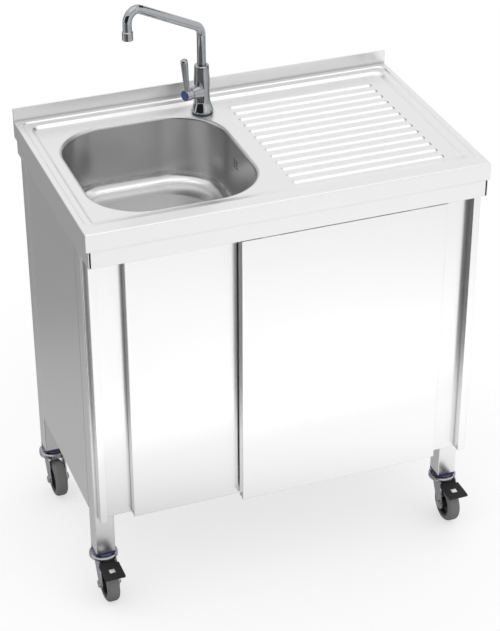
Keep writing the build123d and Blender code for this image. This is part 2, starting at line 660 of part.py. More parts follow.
def strainer_basket():
    """Perforated lift-out basket with a knob, standing on the cup's floor by its stopper."""
    radius = DRAIN_HOLE_RADIUS - RUNNING_GAP - STRAINER_WALL - BASKET_CLEARANCE
    bore = radius - STRAINER_WALL
    stop = WASTE_PIPE_RADIUS + STRAINER_WALL
    top = BOWL_FLOOR + STRAINER_FLANGE
    floor = top - BASKET_HEIGHT
    foot = STRAINER_FLOOR + RUNNING_GAP
    knob_top = top + BASKET_KNOB_RADIUS
    neck = BASKET_KNOB_RADIUS / 2
    basket = turned([
        (0, foot), (stop, foot), (stop, foot + STRAINER_WALL), (BASKET_STEM_RADIUS, foot + STRAINER_WALL),
        (BASKET_STEM_RADIUS, floor), (radius, floor), (radius, top), (bore, top),
        (bore, floor + STRAINER_WALL), (neck, floor + STRAINER_WALL), (neck, top - STRAINER_WALL),
        (BASKET_KNOB_RADIUS, top),
        (BASKET_KNOB_RADIUS, knob_top - STRAINER_WALL), (neck, knob_top), (0, knob_top)])
    for ring in BASKET_RINGS:
        for number in range(BASKET_HOLES):
            angle = 2 * math.pi * (number + ring) / BASKET_HOLES
            x = ring * bore * math.cos(angle)
            y = ring * bore * math.sin(angle)
            basket -= rod(x, y, floor - STRAINER_WALL, floor + 2 * STRAINER_WALL, BASKET_HOLE_RADIUS)
    return Pos(BOWL_X, BOWL_Y, 0) * basket


def waste_pipe():
    """Straight pipe from the strainer's tailpipe down through the waste can's cap."""
    end = CAN_TOP - CAN_NECK_HEIGHT
    outer = rod(BOWL_X, BOWL_Y, end, TAILPIPE_END, WASTE_PIPE_RADIUS)
    return outer - rod(BOWL_X, BOWL_Y, end, TAILPIPE_END, WASTE_PIPE_RADIUS - WASTE_PIPE_WALL)


def overflow_pipe():
    """Box behind the overflow slits and a pipe from it to the side of the strainer's cup."""
    wall = BOWL_X + BOWL_WIDTH / 2 - BOWL_LIP_RADIUS + BOWL_SHEET
    y = FRONT + OVERFLOW_FROM_FRONT
    z = BOARD - OVERFLOW_DROP
    half_w = OVERFLOW_BOX_WIDTH / 2
    half_h = OVERFLOW_BOX_HEIGHT / 2
    cup = DRAIN_HOLE_RADIUS - RUNNING_GAP
    box = block(wall, wall + OVERFLOW_BOX_DEPTH, y - half_w, y + half_w, z - half_h, z + half_h)
    box -= block(wall, wall + OVERFLOW_BOX_DEPTH - STRAINER_WALL,
                 y - half_w + STRAINER_WALL, y + half_w - STRAINER_WALL,
                 z - half_h + STRAINER_WALL, z + half_h - STRAINER_WALL)
    drop_x = wall + OVERFLOW_BOX_DEPTH / 2
    low = STRAINER_FLOOR + OVERFLOW_PIPE_RADIUS + STRAINER_WALL
    away = math.hypot(drop_x - BOWL_X, y - BOWL_Y)
    near = (cup - STRAINER_WALL) / away
    end = (BOWL_X + near * (drop_x - BOWL_X), BOWL_Y + near * (y - BOWL_Y), low)
    tube = pipe([(drop_x, y, z - half_h + STRAINER_WALL / 2), (drop_x, y, low), end],
                [2 * OVERFLOW_PIPE_RADIUS], OVERFLOW_PIPE_RADIUS)
    return box + tube - rod(BOWL_X, BOWL_Y, STRAINER_FLOOR - STRAINER_WALL, BOWL_FLOOR, cup + FIT)


# Tap

def tap_place(shape):
    """Puts a shape made round the tap's axis, reaching along +X, in its place on the board."""
    return Pos(TAP_X, TAP_Y, TAP_FOOT) * Rot(0, 0, 180 + TAP_TURN) * shape


def tap_body():
    """Turned pillar with a bell foot, a threaded shank, a ring groove and a side boss for the lever."""
    socket = SPOUT_RADIUS + FIT
    ring = TAP_BODY_HEIGHT - TAP_RING_HEIGHT
    groove = TAP_TOP_RADIUS - TAP_GROOVE
    outline = Polyline([
        (TAP_SHANK_BORE, 0, -TAP_SHANK_LENGTH), (TAP_SHANK_RADIUS, 0, -TAP_SHANK_LENGTH),
        (TAP_SHANK_RADIUS, 0, 0), (TAP_FOOT_RADIUS, 0, 0), (TAP_BASE_RADIUS, 0, TAP_BASE_EDGE / 2),
        (TAP_BASE_RADIUS, 0, TAP_BASE_EDGE)])
    flare = Spline((TAP_BASE_RADIUS, 0, TAP_BASE_EDGE), (TAP_FLARE_RADIUS, 0, TAP_FLARE_HEIGHT),
                   (TAP_NECK_RADIUS, 0, TAP_NECK_HEIGHT), (TAP_SWELL_RADIUS, 0, TAP_SWELL_HEIGHT),
                   (TAP_TOP_RADIUS, 0, ring - TAP_GROOVE), tangents=[TAP_FLARE_SLOPE, (0, 0, 1)])
    upper = Polyline([
        (TAP_TOP_RADIUS, 0, ring - TAP_GROOVE), (groove, 0, ring - TAP_GROOVE), (groove, 0, ring),
        (TAP_TOP_RADIUS, 0, ring), (TAP_TOP_RADIUS, 0, TAP_BODY_HEIGHT - SPOUT_WALL),
        (TAP_TOP_RADIUS - SPOUT_WALL, 0, TAP_BODY_HEIGHT), (socket, 0, TAP_BODY_HEIGHT),
        (socket, 0, TAP_BODY_HEIGHT - SPOUT_SOCKET), (TAP_SHANK_BORE, 0, TAP_BODY_HEIGHT - SPOUT_SOCKET),
        (TAP_SHANK_BORE, 0, -TAP_SHANK_LENGTH)])
    pillar = revolve(make_face([outline, flare, upper]), Axis.Z)
    root = TAP_SHANK_BORE + SPOUT_WALL
    boss = Pos((root + BOSS_REACH) / 2, 0, HANDLE_HEIGHT) * Rot(0, 90, 0) * Cone(
        BOSS_ROOT_RADIUS, BOSS_RADIUS, BOSS_REACH - root)
    return tap_place(pillar + boss)


def tap_seal():
    """Rubber ring between the tap's foot and the board."""
    ring = rod(0, 0, -SEAL_HEIGHT, 0, TAP_FOOT_RADIUS)
    return tap_place(ring - rod(0, 0, -SEAL_HEIGHT, 0, TAP_SHANK_RADIUS + FIT))


def tap_backnut():
    """Hexagon nut that clamps the tap from below."""
    top = -SEAL_HEIGHT - SHEET
    low = top - BACKNUT_HEIGHT
    outline = RegularPolygon(BACKNUT_ACROSS / 2, 6, major_radius=False)
    hexagon = extrude(Pos(0, 0, low) * outline, BACKNUT_HEIGHT)
    return tap_place(hexagon - rod(0, 0, low, top, TAP_SHANK_RADIUS + FIT))


def tap_spout():
    """Bent tube that turns in the pillar's socket."""
    foot = TAP_BODY_HEIGHT - SPOUT_SOCKET + RUNNING_GAP
    points = [(0, 0, foot), (0, 0, SPOUT_CORNER_HEIGHT), (SPOUT_REACH, 0, SPOUT_CREST_HEIGHT),
              (SPOUT_REACH, 0, SPOUT_OUTLET_HEIGHT + AERATOR_LIP)]
    return tap_place(pipe(points, [SPOUT_LOW_BEND, SPOUT_HIGH_BEND], SPOUT_RADIUS, SPOUT_RADIUS - SPOUT_WALL))


def tap_aerator():
    """Sleeve with a screen round the end of the spout."""
    low = SPOUT_OUTLET_HEIGHT
    high = low + AERATOR_HEIGHT
    screen = low + AERATOR_LIP
    mouth = SPOUT_RADIUS - SPOUT_WALL
    bore = SPOUT_RADIUS + FIT
    sleeve = turned([
        (0, screen - SPOUT_WALL), (mouth, screen - SPOUT_WALL), (mouth, low),
        (AERATOR_RADIUS - SPOUT_WALL / 2, low), (AERATOR_RADIUS, low + SPOUT_WALL / 2),
        (AERATOR_RADIUS, high - SPOUT_WALL), (bore, high), (bore, screen), (0, screen)])
    return tap_place(Pos(SPOUT_REACH, 0, 0) * sleeve)


def tap_lever():
    """Quarter-turn handle: a short barrel in line with the boss and a tapered lever that leans out."""
    start = BOSS_REACH + HANDLE_GAP
    end = start + HANDLE_LENGTH
    barrel = rod_x(start, end, 0, HANDLE_HEIGHT, HANDLE_RADIUS)
    barrel = chamfer(barrel.edges().filter_by(GeomType.CIRCLE), HANDLE_EDGE)
    tip = LEVER_RISE - LEVER_TIP_RADIUS
    slope = math.atan2(LEVER_TIP_RADIUS - LEVER_FOOT_RADIUS, tip)
    side = (LEVER_TIP_RADIUS * math.cos(slope), 0, tip - LEVER_TIP_RADIUS * math.sin(slope))
    angle = (math.pi / 2 - slope) / 2
    crown = (LEVER_TIP_RADIUS * math.sin(angle), 0, tip + LEVER_TIP_RADIUS * math.cos(angle))
    outline = [Polyline([(0, 0, LEVER_RISE), (0, 0, 0), (LEVER_FOOT_RADIUS, 0, 0), side]),
               ThreePointArc(side, crown, (0, 0, LEVER_RISE))]
    lever = revolve(make_face(outline), Axis.Z)
    root = Pos(end - LEVER_FROM_END, 0, HANDLE_HEIGHT) * Rot(0, LEVER_LEAN, 0)
    return tap_place(barrel + root * lever)


def tap_index():
    """Coloured disc on the end of the handle."""
    end = BOSS_REACH + HANDLE_GAP + HANDLE_LENGTH
    disc = rod_x(end, end + INDEX_HEIGHT, 0, HANDLE_HEIGHT, INDEX_RADIUS)
    return tap_place(fillet(disc.edges().sort_by(Axis.X)[-1], INDEX_HEIGHT / 2))


# Water cans, pump and hoses

def can_form(x, y, inset, bottom, top, seat):
    """Upright can with a sloping shoulder, drawn in by a wall's thickness."""
    width = CAN_WIDTH - 2 * inset
    length = CAN_LENGTH - 2 * inset
    corner = CAN_CORNER - inset
    low = Pos(x, y, top) * RectangleRounded(width, length, corner)
    drawn_in = 2 * CAN_SHOULDER
    high = Pos(x, y, seat) * RectangleRounded(width - drawn_in, length - drawn_in, corner)
    return prism(x, y, width, length, corner, bottom, top) + loft([low, high], ruled=True)


def water_can(x):
    """Blow-moulded can with a shoulder, a neck at the front and a carrying handle behind it."""
    y = CAN_NECK_Y - CAN_NECK_TO_FRONT + CAN_LENGTH / 2
    top = SHELF_TOP + CAN_BODY_HEIGHT
    seat = CAN_TOP - CAN_NECK_HEIGHT
    body = can_form(x, y, 0.0, SHELF_TOP, top, seat)
    inside = can_form(x, y, CAN_WALL, SHELF_TOP + CAN_WALL, top, seat - CAN_WALL)
    neck = rod(x, CAN_NECK_Y, top, CAN_TOP, CAN_NECK_RADIUS)
    bore = rod(x, CAN_NECK_Y, top - 2 * CAN_WALL, CAN_TOP, CAN_NECK_RADIUS - CAN_WALL)
    y1 = y + CAN_LENGTH / 2 - CAN_SHOULDER
    y0 = y1 - CAN_HANDLE_LENGTH
    half = CAN_HANDLE_WIDTH / 2
    grip = block(x - half, x + half, y0, y1, seat - CAN_WALL, seat + CAN_HANDLE_RISE)
    grip -= block(x - half, x + half, y0 + CAN_HANDLE_POST, y1 - CAN_HANDLE_POST,
                  seat, seat + CAN_HANDLE_RISE - CAN_HANDLE_BAR)
    grip = fillet(grip.edges().filter_by(Axis.X).sort_by(Axis.Z)[-2:], CAN_HANDLE_BAR / 2)
    return fuse([body, neck]) - inside - bore + grip


def can_cap(x, hole):
    """Screw cap with grip ribs and a hole for the pipe or hose."""
    skirt = rod(x, CAN_NECK_Y, CAP_TOP - CAP_HEIGHT, CAP_TOP, CAP_RADIUS)
    skirt -= rod(x, CAN_NECK_Y, CAP_TOP - CAP_HEIGHT, CAN_TOP, CAN_NECK_RADIUS + FIT)
    for number in range(CAP_RIBS):
        angle = 2 * math.pi * number / CAP_RIBS
        skirt += rod(x + CAP_RADIUS * math.cos(angle), CAN_NECK_Y + CAP_RADIUS * math.sin(angle),
                     CAP_TOP - CAP_HEIGHT, CAP_TOP - CAP_WALL, CAP_RIB_RADIUS)
    return skirt - rod(x, CAN_NECK_Y, CAN_TOP - CAP_WALL, CAP_TOP + CAP_WALL, hole + FIT)


def pump():
    """Small diaphragm pump: motor, head with two ports, and a foot plate on rubber feet."""
    plate_z = SHELF_TOP + PUMP_FOOT
    half_w = PUMP_HEAD_WIDTH / 2
    half_l = PUMP_HEAD_LENGTH / 2
    head = block(PUMP_X - half_w, PUMP_X + half_w, PUMP_Y - half_l, PUMP_Y + half_l,
                 PUMP_SEAT, PUMP_SEAT + PUMP_HEAD_HEIGHT)
    head = fillet(head.edges().filter_by(Axis.Y), CASE_CORNER)
    motor_end = PUMP_Y - half_l - PUMP_MOTOR_LENGTH
    motor_z = PUMP_SEAT + PUMP_HEAD_HEIGHT / 2
    motor = rod_y(PUMP_X, motor_end, PUMP_Y, motor_z, PUMP_MOTOR_RADIUS)
    half_r = PUMP_MOTOR_RADIUS / 2
    cradle = block(PUMP_X - half_r, PUMP_X + half_r, motor_end + PUMP_MOTOR_RADIUS, PUMP_Y,
                   plate_z, motor_z - half_r)
    plate = block(PUMP_X - half_w, PUMP_X + half_w, motor_end, PUMP_Y + half_l, plate_z, PUMP_SEAT)
    pieces = [head, motor, cradle, plate]
    for side in (-0.5, 0.5):
        pieces.append(rod(PUMP_X + side * PORT_SPACING, PUMP_Y, PUMP_SEAT, PORT_TOP, PORT_RADIUS))
        for y in (motor_end + PUMP_FOOT_INSET, PUMP_Y):
            foot_x = PUMP_X + side * (PUMP_HEAD_WIDTH - 2 * PUMP_FOOT_INSET)
            pieces.append(rod(foot_x, y, SHELF_TOP, plate_z, PUMP_FOOT_RADIUS))
    return fuse(pieces)


def suction_hose():
    """Hose from the clean can's cap to the pump's right-hand port."""
    port_x = PUMP_X + PORT_SPACING / 2
    high = CAP_TOP + SUCTION_RISE
    points = [(FRESH_CAN_X, CAN_NECK_Y, SHELF_TOP + SUCTION_END), (FRESH_CAN_X, CAN_NECK_Y, high),
              (port_x, PUMP_Y, high), (port_x, PUMP_Y, PORT_TOP)]
    return pipe(points, [HOSE_BEND, HOSE_BEND], HOSE_RADIUS, PORT_RADIUS)


def riser_hose():
    """Hose from the pump's left-hand port up to the tap's shank."""
    port_x = PUMP_X - PORT_SPACING / 2
    points = [(port_x, PUMP_Y, PORT_TOP), (port_x, PUMP_Y, RISER_TURN_HEIGHT),
              (TAP_X, TAP_Y, RISER_JOIN_HEIGHT), (TAP_X, TAP_Y, SHANK_END)]
    return pipe(points, [HOSE_BEND, HOSE_BEND], HOSE_RADIUS, PORT_RADIUS)


def battery_pack():
    """Sealed battery with a terminal block, standing on the shelf in front of the pump."""
    half_w = BATTERY_WIDTH / 2
    half_l = BATTERY_LENGTH / 2
    top = SHELF_TOP + BATTERY_HEIGHT
    case = block(PUMP_X - half_w, PUMP_X + half_w, BATTERY_Y - half_l, BATTERY_Y + half_l, SHELF_TOP, top)
    case = fillet(case.edges().filter_by(Axis.Z), CASE_CORNER)
    terminal_y = BATTERY_Y + half_l - BATTERY_TERMINAL
    terminal = block(PUMP_X - half_w / 2, PUMP_X + half_w / 2, terminal_y - BATTERY_TERMINAL / 2,
                     terminal_y + BATTERY_TERMINAL / 2, top, top + BATTERY_TERMINAL)
    return case + terminal


def power_cable():
    """Lead from the battery's terminal block to the top of the pump's motor."""
    terminal_y = BATTERY_Y + BATTERY_LENGTH / 2 - BATTERY_TERMINAL
    start = SHELF_TOP + BATTERY_HEIGHT + BATTERY_TERMINAL
    motor_y = PUMP_Y - PUMP_HEAD_LENGTH / 2 - PUMP_MOTOR_LENGTH / 2
    motor_top = PUMP_SEAT + PUMP_HEAD_HEIGHT / 2 + PUMP_MOTOR_RADIUS
    high = start + CABLE_ARCH
    points = [(PUMP_X, terminal_y, start), (PUMP_X, terminal_y, high),
              (PUMP_X, motor_y, high), (PUMP_X, motor_y, motor_top)]
    return pipe(points, [CABLE_BEND, CABLE_BEND], CABLE_RADIUS)


# Casters, made round the swivel axis with the wheel trailing towards the front

def leg_plugs():
    """Four plastic plugs in the feet of the legs."""
    inside = LEG - 2 * LEG_WALL - 2 * FIT
    plugs = []
    for x, y in leg_places():
        insert = prism(x, y, inside, inside, LEG_CORNER - LEG_WALL,
                       CASTER_HEIGHT, CASTER_HEIGHT + PLUG_INSERT)
        flange = prism(x, y, LEG, LEG, LEG_CORNER, CASTER_HEIGHT - PLUG_FLANGE, CASTER_HEIGHT)
        plugs.append(insert + flange)
    return Compound(children=plugs)


def caster_kingpins():
    """Four fixed swivel races, each with the kingpin that holds its fork."""
    plate_bottom = FORK_TOP - FORK_HEAD_PLATE
    nut_top = plate_bottom - RUNNING_GAP
    nut_bottom = nut_top - KINGPIN_NUT
    race_top = RACE_BOTTOM + RACE_HEIGHT
    pin = turned([(0, nut_bottom), (KINGPIN_NUT_RADIUS, nut_bottom), (KINGPIN_NUT_RADIUS, nut_top),
                  (KINGPIN_RADIUS, nut_top), (KINGPIN_RADIUS, RACE_BOTTOM),
                  (RACE_RADIUS - RACE_HEIGHT, RACE_BOTTOM), (RACE_RADIUS, RACE_BOTTOM + RACE_HEIGHT / 2),
                  (RACE_RADIUS, race_top), (0, race_top)])
    return Compound(children=[Pos(x, y, 0) * pin for x, y in leg_places()])


def leg_places():
    """Centres of the four legs."""
    return [(side * LEG_X, y) for y in (LEG_FRONT_Y, LEG_REAR_Y) for side in (-1, 1)]


def caster_fork(braked):
    """Pressed fork: a round head on the kingpin and two leaning plates down to the axle."""
    skirt_bottom = FORK_TOP - (BRAKED_HEAD_SKIRT if braked else FORK_HEAD_SKIRT)
    plate_bottom = FORK_TOP - FORK_HEAD_PLATE
    head = turned([(KINGPIN_RADIUS + FIT, FORK_TOP), (FORK_HEAD_RADIUS - FORK_PLATE, FORK_TOP),
                   (FORK_HEAD_RADIUS, FORK_TOP - FORK_PLATE), (FORK_HEAD_RADIUS, skirt_bottom),
                   (FORK_HEAD_RADIUS - FORK_PLATE, skirt_bottom),
                   (FORK_HEAD_RADIUS - FORK_PLATE, plate_bottom), (KINGPIN_RADIUS + FIT, plate_bottom)])
    web = Pos(-FORK_LEAN, (skirt_bottom + plate_bottom) / 2) * Rectangle(
        2 * FORK_SHOULDER, plate_bottom - skirt_bottom)
    foot = Pos(-CASTER_TRAIL, AXLE_Z) * Circle(FORK_FOOT_RADIUS)
    outline = make_hull(web.edges() + foot.edges()) - Pos(-CASTER_TRAIL, AXLE_Z) * Circle(AXLE_RADIUS + FIT)
    if braked:
        outline -= Pos(-PEDAL_PIVOT_BACK, PEDAL_PIVOT_Z) * Circle(PEDAL_PIN_RADIUS + FIT)
    plate = extrude(Plane.YZ * outline, FORK_PLATE)
    plates = [Pos(FORK_GAP / 2, 0, 0) * plate, Pos(-FORK_GAP / 2 - FORK_PLATE, 0, 0) * plate]
    return fuse([head] + plates)


def caster_axle():
    """Bolt through the fork and the wheel, with a round head and a nut."""
    outside = FORK_GAP / 2 + FORK_PLATE
    shaft = rod_x(-outside, outside, -CASTER_TRAIL, AXLE_Z, AXLE_RADIUS)
    head = rod_x(-outside - AXLE_HEAD, -outside, -CASTER_TRAIL, AXLE_Z, AXLE_HEAD_RADIUS)
    hexagon = extrude(RegularPolygon(AXLE_HEAD_RADIUS, 6), AXLE_HEAD)
    nut = Pos(outside, -CASTER_TRAIL, AXLE_Z) * Rot(0, 90, 0) * hexagon
    return fuse([shaft, head, nut])


def on_axle(shape):
    """Turns a wheel made about Z on to the axle."""
    return Pos(0, -CASTER_TRAIL, AXLE_Z) * Rot(0, 90, 0) * shape


def wheel_hub():
    """Plastic wheel centre with a long boss, a web and a rim."""
    boss = FORK_GAP / 2 - RUNNING_GAP
    rim = TYRE_WIDTH / 2 - HUB_RIM / 2
    web = HUB_WEB / 2
    bore = AXLE_RADIUS + FIT
    inside = HUB_RADIUS - HUB_RIM
    return on_axle(turned([
        (bore, -boss), (HUB_BOSS_RADIUS, -boss), (HUB_BOSS_RADIUS, -web), (inside, -web), (inside, -rim),
        (HUB_RADIUS, -rim), (HUB_RADIUS, rim), (inside, rim), (inside, web), (HUB_BOSS_RADIUS, web),
        (HUB_BOSS_RADIUS, boss), (bore, boss)]))


def wheel_tyre():
    """Rubber tyre with rounded shoulders."""
    half = TYRE_WIDTH / 2
    inner = HUB_RADIUS + FIT
    ring = turned([(inner, -half), (WHEEL_RADIUS, -half), (WHEEL_RADIUS, half), (inner, half)])
    shoulders = [edge for edge in ring.edges().filter_by(GeomType.CIRCLE) if edge.radius > WHEEL_RADIUS - FIT]
    return on_axle(fillet(shoulders, TYRE_SHOULDER))


def brake_pedal():
    """Foot brake: a square plate with a hole, on a tongue that pivots between the fork's plates."""
    z0 = PEDAL_BOTTOM
    z1 = z0 + PEDAL_THICKNESS
    middle = -PEDAL_REACH + PEDAL_LENGTH / 2
    half_hole = PEDAL_HOLE / 2
    half = PEDAL_TONGUE / 2
    tongue_start = -PEDAL_REACH + PEDAL_LENGTH - PEDAL_THICKNESS
    plate = prism(0, middle, PEDAL_WIDTH, PEDAL_LENGTH, PEDAL_THICKNESS / 2, z0, z1)
    plate -= block(-half_hole, half_hole, middle - half_hole, middle + half_hole, z0, z1)
    tongue = block(-half, half, tongue_start, -PEDAL_PIVOT_BACK, z0, z1)
    eye = rod_x(-half, half, -PEDAL_PIVOT_BACK, PEDAL_PIVOT_Z, PEDAL_EYE_RADIUS)
    outside = FORK_GAP / 2 + FORK_PLATE
    pin = rod_x(-outside, outside, -PEDAL_PIVOT_BACK, PEDAL_PIVOT_Z, PEDAL_PIN_RADIUS)
    return fuse([plate, tongue, eye, pin])


def all_parts():
    """Every piece by name."""
    parts = {
        "worktop": worktop(), "sink_bowl": sink_bowl(), "top_frame": top_frame(),
        "side_panel_left": side_panel(-1), "side_panel_right": side_panel(1), "back_panel": back_panel(),
        "bottom_shelf": bottom_shelf(), "left_jamb": left_jamb(), "right_jamb": right_jamb(),
        "door_track": door_track(), "door_guide": door_guide(),
        "left_door": door(LEFT_DOOR_X, LEFT_DOOR_Y), "right_door": door(RIGHT_DOOR_X, RIGHT_DOOR_Y),
        "left_door_gliders": door_gliders(LEFT_DOOR_X, LEFT_DOOR_Y),
        "right_door_gliders": door_gliders(RIGHT_DOOR_X, RIGHT_DOOR_Y),
        "strainer_body": strainer_body(), "strainer_basket": strainer_basket(), "waste_pipe": waste_pipe(),
        "overflow_pipe": overflow_pipe(), "tap_body": tap_body(), "tap_seal": tap_seal(),
        "tap_backnut": tap_backnut(), "tap_spout": tap_spout(), "tap_aerator": tap_aerator(),
        "tap_lever": tap_lever(), "tap_index": tap_index(),
        "fresh_can": water_can(FRESH_CAN_X), "fresh_can_cap": can_cap(FRESH_CAN_X, HOSE_RADIUS),
        "waste_can": water_can(BOWL_X), "waste_can_cap": can_cap(BOWL_X, WASTE_PIPE_RADIUS),
        "pump": pump(), "suction_hose": suction_hose(), "riser_hose": riser_hose(),
        "battery_pack": battery_pack(), "power_cable": power_cable(),
        "leg_plugs": leg_plugs(), "caster_kingpins": caster_kingpins(),
    }
    corners = ("front_left", "front_right", "rear_left", "rear_right")
    for corner, (x, y) in zip(corners, leg_places()):
        place = Pos(x, y, 0)
        braked = corner.startswith("front")
        parts["leg_" + corner] = leg(x, y)
        parts["fork_" + corner] = place * caster_fork(braked)
        parts["axle_" + corner] = place * caster_axle()
        parts["hub_" + corner] = place * wheel_hub()
        parts["tyre_" + corner] = place * wheel_tyre()
        if braked:
            parts["pedal_" + corner] = place * brake_pedal()
    return parts


os.makedirs("parts", exist_ok=True)
for name, shape in all_parts().items():
    export_step(shape, "parts/" + name + ".step")
    print(name, len(shape.solids()), "solid(s)", round(shape.volume / 1000, 1), "cm3")
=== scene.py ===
# %% [markdown]
# # A portable stainless-steel sink
# The sink is a pressed steel worktop on a wheeled cabinet with two sliding doors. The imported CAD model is
# the frame: its nodes are already in place, in metres, with +Z up and the doors facing -Y. This lesson
# gives them their finishes, adds small hardware, and sets up a plain studio.

# %% Load the frame
import json
import math
import bpy
import bmesh
from mathutils import Matrix, Vector


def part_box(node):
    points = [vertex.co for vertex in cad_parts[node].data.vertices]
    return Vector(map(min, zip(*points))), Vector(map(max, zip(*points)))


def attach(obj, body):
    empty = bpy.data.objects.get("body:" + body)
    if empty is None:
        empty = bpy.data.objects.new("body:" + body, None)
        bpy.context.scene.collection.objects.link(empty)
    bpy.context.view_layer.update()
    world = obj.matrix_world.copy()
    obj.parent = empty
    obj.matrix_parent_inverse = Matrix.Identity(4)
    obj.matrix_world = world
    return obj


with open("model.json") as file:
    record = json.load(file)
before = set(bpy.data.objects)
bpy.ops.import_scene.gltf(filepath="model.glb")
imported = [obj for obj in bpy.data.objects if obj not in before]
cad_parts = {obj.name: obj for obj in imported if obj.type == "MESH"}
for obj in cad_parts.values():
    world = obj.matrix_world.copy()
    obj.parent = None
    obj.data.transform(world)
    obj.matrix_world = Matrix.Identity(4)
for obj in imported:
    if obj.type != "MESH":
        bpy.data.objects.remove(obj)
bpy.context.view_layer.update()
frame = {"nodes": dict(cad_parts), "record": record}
nodes = frame["nodes"]
scene = bpy.context.scene

# %% [markdown]
# ## The camera
# The view was worked out from the straight edges of the worktop in the picture. A long lens, 110 mm on a
# 36 mm sensor, keeps the uprights almost parallel, and the camera stands about four metres away, to the
# left and well above the worktop. Three angles are enough to aim it, so no tracking constraint is needed.

# %% Camera
CAMERA_PLACE = (-1.1725, -3.1393, 2.5278)
CAMERA_TURN = (58.457, 0.114, -20.613)
LENS = 110.0
SENSOR_WIDTH = 36.0


def add_object(name, data):
    """Object with its data, linked to the scene."""
    obj = bpy.data.objects.new(name, data)
    scene.collection.objects.link(obj)
    return obj


camera = add_object("camera", bpy.data.cameras.new("camera"))
camera.data.lens = LENS
camera.data.sensor_width = SENSOR_WIDTH
camera.location = CAMERA_PLACE
camera.rotation_euler = [math.radians(angle) for angle in CAMERA_TURN]
scene.camera = camera
scene.view_settings.view_transform = "Standard"
print("camera", camera.data.lens, "mm at", CAMERA_PLACE)

# %% [markdown]
# ## Nodes without the clicking
# A material is a small graph. These helpers make a node, set its sockets by name, join two sockets, mix two
# colours and map a value to a range, so that each finish below reads as a short recipe.

# %% Node helpers
MIX_FIRST = 6
MIX_SECOND = 7
MIX_RESULT = 2


def new_material(name):
    """Material with a Principled shader, returned with its node tree and shader."""
    material = bpy.data.materials.new(name)
    material.use_nodes = True
    tree = material.node_tree
    return material, tree, tree.nodes["Principled BSDF"]


def add_node(tree, kind, **values):
    """Makes a node and sets its properties or its input sockets by name."""
    node = tree.nodes.new(kind)
    for key, value in values.items():
        socket = key.replace("_", " ")
        if socket in node.inputs:
            node.inputs[socket].default_value = value
        else:
            setattr(node, key, value)
    return node


def join(tree, source, output, target, socket):
    """Joins an output socket to an input socket."""
    tree.links.new(source.outputs[output], target.inputs[socket])


def mix_colors(tree, first, second, source, output):
    """Node that mixes two colours by the value of an output socket."""
    node = add_node(tree, "ShaderNodeMix", data_type="RGBA")
    node.inputs[MIX_FIRST].default_value = (*first, 1)
    node.inputs[MIX_SECOND].default_value = (*second, 1)
    join(tree, source, output, node, 0)
    return node


def map_range(tree, source, output, low, high, start=0.0, end=1.0):
    """Node that maps an output socket's value, from start to end, to a range from low to high."""
    node = add_node(tree, "ShaderNodeMapRange", From_Min=start, From_Max=end, To_Min=low, To_Max=high)
    join(tree, source, output, node, 0)
    return node


print("node helpers ready")

# %% [markdown]
# ## Seeing white
# The picture has a white ground with a faint shadow. The floor is a pale diffuse surface with some glow, so
# that open floor reads as white and the shade under the cabinet stays light. The glow is only for rays that
# look at the floor, so it never lights the object. The world works the same way: it is white where it is
# seen, and a little weaker as a light.

# %% White for camera and mirror rays
FILL_LIGHT = 0.85


def seen_directly(tree):
    """One for rays that show the background: from the camera, or by way of a mirror or glass."""
    path = add_node(tree, "ShaderNodeLightPath")
    first = add_node(tree, "ShaderNodeMath", operation="MAXIMUM")
    join(tree, path, "Is Camera Ray", first, 0)
    join(tree, path, "Is Glossy Ray", first, 1)
    second = add_node(tree, "ShaderNodeMath", operation="MAXIMUM")
    join(tree, first, 0, second, 0)
    join(tree, path, "Is Transmission Ray", second, 1)
    return second


world = bpy.data.worlds.new("studio")
world.use_nodes = True
scene.world = world
background = world.node_tree.nodes["Background"]
background.inputs["Color"].default_value = (1, 1, 1, 1)
strength = map_range(world.node_tree, seen_directly(world.node_tree), 0, FILL_LIGHT, 1.0)
join(world.node_tree, strength, 0, background, "Strength")
print("world fill", FILL_LIGHT)

# %% Floor
FLOOR_COLOR = 0.53
FLOOR_GLOW = 0.55
FLOOR_REACH = 20.0


def sheet(name, left, right, front, back):
    """Level four-sided sheet at the origin."""
    corners = [(left, front, 0), (right, front, 0), (right, back, 0), (left, back, 0)]
    mesh = bpy.data.meshes.new(name)
    mesh.from_pydata(corners, [], [(0, 1, 2, 3)])
    return add_object(name, mesh)


def matt_paint(obj, grey):
    """Gives a sheet a matt grey that can glow white, and returns its node tree and shader."""
    material, tree, shader = new_material(obj.name)
    shader.inputs["Base Color"].default_value = (grey, grey, grey, 1)
    shader.inputs["Roughness"].default_value = 1.0
    shader.inputs["Specular IOR Level"].default_value = 0.0
    shader.inputs["Emission Color"].default_value = (1, 1, 1, 1)
    obj.data.materials.append(material)
    return tree, shader


floor = sheet("floor", -FLOOR_REACH, FLOOR_REACH, -FLOOR_REACH, FLOOR_REACH)
floor.visible_glossy = False
tree, shader = matt_paint(floor, FLOOR_COLOR)
glow = add_node(tree, "ShaderNodeMath", operation="MULTIPLY")
glow.inputs[1].default_value = FLOOR_GLOW
join(tree, seen_directly(tree), 0, glow, 0)
join(tree, glow, 0, shader, "Emission Strength")
print("floor", 2 * FLOOR_REACH, "m wide")

# %% [markdown]
# ## Cards for reflections
# Polished metal shows what is around it, so a photographer hangs grey cards out of the picture to shape it.
# These cards hang twenty metres away, each in a direction given as a compass angle and a height angle, and
# only mirrors see them. The floor doesn't show in reflections, so cards can hang below it as well: upright
# sheets, seen from above, mirror what lies low down.

# %% Reflection cards
CARD_DISTANCE = 20.0
QUARTER_TURN = math.radians(90)

